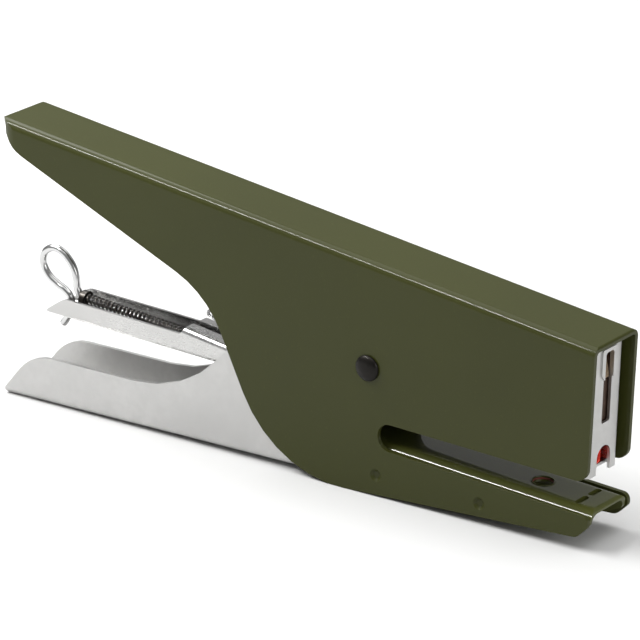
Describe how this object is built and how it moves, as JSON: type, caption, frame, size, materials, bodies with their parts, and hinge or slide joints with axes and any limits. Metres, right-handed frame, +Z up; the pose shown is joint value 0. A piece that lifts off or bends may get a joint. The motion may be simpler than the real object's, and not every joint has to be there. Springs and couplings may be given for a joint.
{
  "type": "plier stapler",
  "caption": "All-metal plier stapler: folded olive enamel body with a lower anvil jaw, a nickel hand lever and staple rail, and a sprung pusher on a looped wire rod.",
  "frame": {"origin": "centre of the footprint box, on the surface the stapler stands on", "axes": "+X towards the nose where the staple comes out, +Z up, so -Y is the near side of the picture; the stapler stands on the rear edge of its hand lever and on the belly of its side plates"},
  "size_m": [0.1632, 0.02, 0.0681],
  "materials": {
    "enamel": "glossy olive enamel, satin on the broad faces",
    "nickel": "satin nickel plate",
    "bright_steel": "plain bright steel",
    "spring_wire": "bright drawn wire",
    "dark_steel": "blackened, oiled",
    "tan_steel": "yellow passivated steel, dull",
    "red_plastic": "glossy moulded"
  },
  "bodies": {
    "body": {"body_shell": "enamel", "anvil_channel": "enamel", "pivot_rivet": "dark_steel", "pivot_sleeve": "bright_steel"},
    "lever": {"hand_lever": "nickel", "drive_arm": "tan_steel", "lever_cross_pin": "bright_steel", "arm_spacer_near": "bright_steel", "arm_spacer_far": "bright_steel", "pivot_washer_near": "bright_steel", "pivot_washer_far": "bright_steel", "lever_spring": "dark_steel"},
    "magazine": {"magazine_frame": "nickel", "magazine_rail": "nickel", "rail_rivet_1": "bright_steel", "rail_rivet_2": "bright_steel", "rail_rivet_3": "bright_steel", "rail_rivet_4": "bright_steel", "magazine_spring": "spring_wire"},
    "driver": {"driver_blade": "dark_steel"},
    "pusher_rod": {"pusher_rod": "spring_wire", "rod_collar": "dark_steel", "pusher_spring": "dark_steel"},
    "pusher": {"staple_pusher": "red_plastic"}
  },
  "joints": [
    {"name": "lever_hinge", "type": "hinge", "parent": "body", "child": "lever", "pos_m": [0.02322, 0, 0.0299], "axis": [0, 1, 0], "range_deg": [0, 14], "stiffness_Nm_per_rad": 1.2, "springref_deg": -14.32, "deforming": ["lever_spring"]},
    {"name": "magazine_hinge", "type": "hinge", "parent": "body", "child": "magazine", "pos_m": [0.02322, 0, 0.0299], "axis": [0, 1, 0], "range_deg": [0, 5.65], "deforming": ["magazine_spring"]},
    {"name": "driver_slide", "type": "slide", "parent": "magazine", "child": "driver", "axis": [-0.0358, 0, -0.9994], "range_m": [0, 0.0082]},
    {"name": "pusher_rod_slide", "type": "slide", "parent": "magazine", "child": "pusher_rod", "axis": [-0.9994, 0, 0.0358], "range_m": [0, 0.12]},
    {"name": "pusher_slide", "type": "slide", "parent": "pusher_rod", "child": "pusher", "axis": [-0.9994, 0, 0.0358], "range_m": [0, 0.06], "stiffness_N_per_m": 40, "springref_m": -0.03, "deforming": ["pusher_spring"]}
  ],
  "couplings": [
    {"joint": "magazine_hinge", "follows": "lever_hinge", "ratio": 0.4},
    {"joint": "driver_slide", "follows": "lever_hinge", "m_per_rad": 0.033068}
  ]
}
